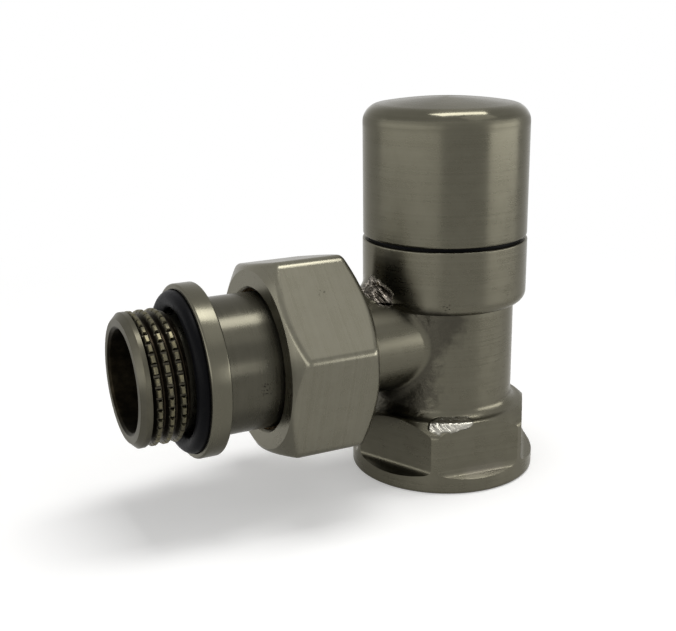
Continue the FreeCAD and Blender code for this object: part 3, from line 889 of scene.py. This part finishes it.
def thread_radius(reach, angle):
    """Threaded surface at one point, with its run-out, end chamfer and nicks."""
    turns = (angle - math.pi) / (2 * math.pi)
    radius = thread_profile((reach - THREAD_CREST_AT) / THREAD_PITCH + turns)
    end_ring = clamped((reach - END_RING_FROM) / (END_RING_TO - END_RING_FROM))
    radius += (THREAD_R - radius) * eased(end_ring)
    grown = clamped((reach - THREAD_START) / (THREAD_FULL - THREAD_START))
    radius = min(radius, RELIEF_R + (THREAD_R - RELIEF_R) * grown)
    radius = min(radius, THREAD_R - max(0.0, reach - (TAIL_END - THREAD_CHAMFER)))
    if NICK_FROM < reach < NICK_TO:
        radius = min(radius, THREAD_R - nick_depth(angle))
    return radius


def nose_rows():
    """Cone with the seal's groove, from the bore's edge to the tube."""
    ring_low = NOSE_RING_AT - RING_HALF_W
    ring_high = NOSE_RING_AT + RING_HALF_W
    return rounded([
        (NOSE_TIP, BORE_R, 0),
        (NOSE_TIP, NOSE_TIP_R, 0),
        (ring_low, NOSE_TIP_R + (ring_low - NOSE_TIP) * NOSE_SLOPE, 0),
        (ring_low, NOSE_RING_FLOOR, 0),
        (ring_high, NOSE_RING_FLOOR, 0),
        (ring_high, NOSE_TIP_R + (ring_high - NOSE_TIP) * NOSE_SLOPE, 0),
        (NOSE_TIP + (TUBE_R - NOSE_TIP_R) / NOSE_SLOPE, TUBE_R, 0),
    ])


def flange_rows():
    """Tube, flange and the recess of the face seal, up to the thread's relief."""
    return rounded([
        (WIRE_AT + WIRE_CLEAR, TUBE_R, 0),
        (FLANGE_BACK, TUBE_R, FOOT_ROUND),
        (FLANGE_BACK, FLANGE_R, FLANGE_ROUND),
        (FLANGE_FRONT, FLANGE_R, FLANGE_ROUND),
        (FLANGE_FRONT, RECESS_R, RECESS_ROUND),
        (FLANGE_FRONT - RECESS_DEPTH, RECESS_R, 0),
        (FLANGE_FRONT - RECESS_DEPTH, RELIEF_R, 0),
        (RELIEF_END, RELIEF_R, 0),
    ])


def thread_rows():
    """Rows of the threaded surface, with a radius of 0 that thread_radius replaces."""
    length = TAIL_END - RELIEF_END
    count = math.ceil(length / THREAD_STEP)
    return [Vector((RELIEF_END + length * step / count, 0.0)) for step in range(1, count + 1)]


def mouth_rows():
    """End face and bore, back to the nose."""
    return rounded([
        (TAIL_END, BORE_R + MOUTH_LAND, 0),
        (TAIL_END, BORE_R + MOUTH_CHAMFER, MOUTH_ROUND),
        (TAIL_END - MOUTH_CHAMFER, BORE_R, MOUTH_ROUND),
        (NOSE_TIP + NOSE_SETBACK, BORE_R, 0),
    ])


def tailpiece_mesh():
    """Wall of the tailpiece: its closed profile taken round the outlet's axis."""
    angles = columns()
    rows = nose_rows() + wire_groove() + flange_rows() + thread_rows() + mouth_rows()
    verts = []
    for row in rows:
        for angle in angles:
            radius = row.y if row.y > 0 else thread_radius(row.x, angle)
            verts.append(along_outlet(row.x, radius, angle))
    faces = []
    wide = len(angles)
    for i in range(len(rows)):
        this_row = i * wide
        next_row = (i + 1) % len(rows) * wide
        for j in range(wide):
            beside = (j + 1) % wide
            faces.append((this_row + j, this_row + beside, next_row + beside, next_row + j))
    mesh = bpy.data.meshes.new("tailpiece_threaded")
    mesh.from_pydata(verts, [], faces)
    return mesh


def sharpen(mesh, degrees):
    """Shade smooth, with edges steeper than the angle kept sharp."""
    work = bmesh.new()
    work.from_mesh(mesh)
    bmesh.ops.recalc_face_normals(work, faces=work.faces)
    limit = math.radians(degrees)
    for face in work.faces:
        face.smooth = True
    for edge in work.edges:
        edge.smooth = len(edge.link_faces) == 2 and edge.calc_face_angle(0.0) < limit
    work.to_mesh(mesh)
    work.free()


def add_piece(mesh, material, body):
    piece = bpy.data.objects.new(mesh.name, mesh)
    bpy.context.scene.collection.objects.link(piece)
    mesh.materials.append(material)
    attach(piece, body)
    return piece


def build_tailpiece(material):
    mesh = tailpiece_mesh()
    sharpen(mesh, SHARP_ANGLE)
    piece = add_piece(mesh, material, "tail")
    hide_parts("tailpiece")


# ---------------------------------------------------------------- CAD nodes

def dress(node, material):
    """Give a CAD node its procedural material."""
    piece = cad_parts[node]
    if piece.material_slots:
        for slot in piece.material_slots:
            slot.material = material
    else:
        piece.data.materials.append(material)


def dress_nodes():
    looks = (
        (brass_material(), ("bonnet", "spindle", "plug")),
        (steel_material(), ("washer_screw", "snap_ring")),
        (rubber_material(), (
            "bonnet_oring", "spindle_oring_lower", "spindle_oring_upper", "seat_washer",
            "cap_ring", "tail_face_oring", "union_oring",
        )),
        (body_material(), ("valve_body",)),
        (cap_material(), ("cap",)),
        (nut_material(), ("union_nut",)),
    )
    for material, nodes in looks:
        for node in nodes:
            dress(node, material)


# ---------------------------------------------------------------- stage, light, camera

# Camera, solved from the photograph
CAMERA_AT = (-96.151, -153.255, 78.770)
CAMERA_YAW = 26.312      # degrees from +Y towards +X
CAMERA_PITCH = -16.152
CAMERA_ROLL = -0.755
CAMERA_LENS = 57.54
SENSOR_WIDTH = 36.0
CLIP_NEAR = 0.01         # metres
CLIP_FAR = 20.0

# Studio, in metres
FILL_COLOUR = (1.0, 0.99, 0.97)
FILL_STRENGTH = 0.26
FLOOR_HALF = 3.0
FLOOR_PAINT = (0.82, 0.82, 0.82)
FLOOR_GLOW = (0.28, 0.28, 0.28)
FLOOR_MIDDLE = (-0.02, 0.0, 0.0)
FLOOR_FADE = (0.05, 0.20)        # distances over which the floor turns into the white background
SOFTBOX_COLOUR = (1.0, 0.995, 0.985)
SOFTBOX_DISTANCE = 0.60
SOFTBOX_AIM = (0.0, 0.0, 0.03)
SOFTBOXES = (
    # name, degrees to the camera's right, degrees up, width, height, radiance
    ("softbox_left", -58, 9, 1.26, 0.24, 2.45),
    ("softbox_right", 80, 5, 0.58, 0.18, 5.7),
    ("softbox_high", 62, 57, 0.36, 0.28, 0.7),
    ("softbox_top", 116, 80, 0.19, 0.42, 9.4),
)


def ray_share(graph):
    """1 for rays that see the background: camera, glossy and transmission rays."""
    path = graph.node("ShaderNodeLightPath").outputs
    both = graph.larger(path["Is Camera Ray"], path["Is Glossy Ray"])
    return graph.larger(both, path["Is Transmission Ray"])


def add_world():
    """White where it is seen, with a dimmer fill for everything that it lights."""
    graph = Graph(bpy.data.worlds.new("studio"))
    white = graph.shader("ShaderNodeBackground", Color=WHITE, Strength=1.0)
    fill = graph.shader("ShaderNodeBackground", Color=FILL_COLOUR, Strength=FILL_STRENGTH)
    mixed = graph.join("ShaderNodeMixShader", ray_share(graph), fill, white)
    bpy.context.scene.world = graph.show(mixed, "ShaderNodeOutputWorld")


def floor_material():
    """Pale paint that fades into the white background away from the object."""
    graph = material_graph("pale_floor")
    seen = ray_share(graph)
    paint = graph.shader("ShaderNodeBsdfDiffuse", Color=FLOOR_PAINT)
    glow = graph.shader("ShaderNodeEmission", Color=FLOOR_GLOW, Strength=seen)
    white = graph.shader("ShaderNodeEmission", Color=WHITE, Strength=seen)
    near = graph.join("ShaderNodeAddShader", paint, glow)
    position = graph.node("ShaderNodeNewGeometry").outputs["Position"]
    away = graph.vectors("DISTANCE", position, FLOOR_MIDDLE)
    return graph.show(graph.join("ShaderNodeMixShader", graph.rise(away, FLOOR_FADE), near, white))


def add_floor():
    """Floor that keeps the object's shadow and meets the white background."""
    mesh = bpy.data.meshes.new("floor")
    corners = [(-1, -1), (1, -1), (1, 1), (-1, 1)]
    mesh.from_pydata([(x * FLOOR_HALF, y * FLOOR_HALF, 0) for x, y in corners], [], [(0, 1, 2, 3)])
    mesh.materials.append(floor_material())
    floor = bpy.data.objects.new("floor", mesh)
    bpy.context.scene.collection.objects.link(floor)


def seen_from_camera(side, height, distance):
    """Point round the object: the side is degrees to the right of the camera."""
    angle = math.radians(side)
    yaw = math.radians(CAMERA_YAW)
    towards = Vector((-math.sin(yaw), -math.cos(yaw), 0))
    right = Vector((math.cos(yaw), -math.sin(yaw), 0))
    flat = towards * math.cos(angle) + right * math.sin(angle)
    lift = math.radians(height)
    return (flat * math.cos(lift) + Vector((0, 0, math.sin(lift)))) * distance


def add_softbox(name, side, height, width, tall, radiance):
    light = bpy.data.lights.new(name, "AREA")
    light.shape = "RECTANGLE"
    light.size = width
    light.size_y = tall
    light.energy = radiance * math.pi * width * tall
    light.color = SOFTBOX_COLOUR
    lamp = bpy.data.objects.new(name, light)
    lamp.location = seen_from_camera(side, height, SOFTBOX_DISTANCE) + Vector(SOFTBOX_AIM)
    facing = Vector(SOFTBOX_AIM) - lamp.location
    lamp.rotation_euler = facing.to_track_quat("-Z", "Y").to_euler()
    bpy.context.scene.collection.objects.link(lamp)


def camera_turn():
    """Matrix with the camera's right, up and back as its columns."""
    yaw, pitch, roll = (math.radians(a) for a in (CAMERA_YAW, CAMERA_PITCH, CAMERA_ROLL))
    forward = Vector((
        math.sin(yaw) * math.cos(pitch),
        math.cos(yaw) * math.cos(pitch),
        math.sin(pitch),
    ))
    level = Vector((math.cos(yaw), -math.sin(yaw), 0))
    right = level * math.cos(roll) + level.cross(forward) * math.sin(roll)
    return Matrix((right, right.cross(forward), -forward)).transposed()


def add_camera():
    data = bpy.data.cameras.new("photo_camera")
    data.lens = CAMERA_LENS
    data.sensor_fit = "HORIZONTAL"
    data.sensor_width = SENSOR_WIDTH
    data.clip_start = CLIP_NEAR
    data.clip_end = CLIP_FAR
    camera = bpy.data.objects.new("photo_camera", data)
    place = camera_turn().to_4x4()
    place.translation = Vector(CAMERA_AT) * MM
    camera.matrix_world = place
    bpy.context.scene.collection.objects.link(camera)
    bpy.context.scene.camera = camera


add_camera()
add_world()
add_floor()
for softbox in SOFTBOXES:
    add_softbox(*softbox)
dress_nodes()
build_tailpiece(tail_material())
bpy.context.scene.view_settings.view_transform = "Standard"
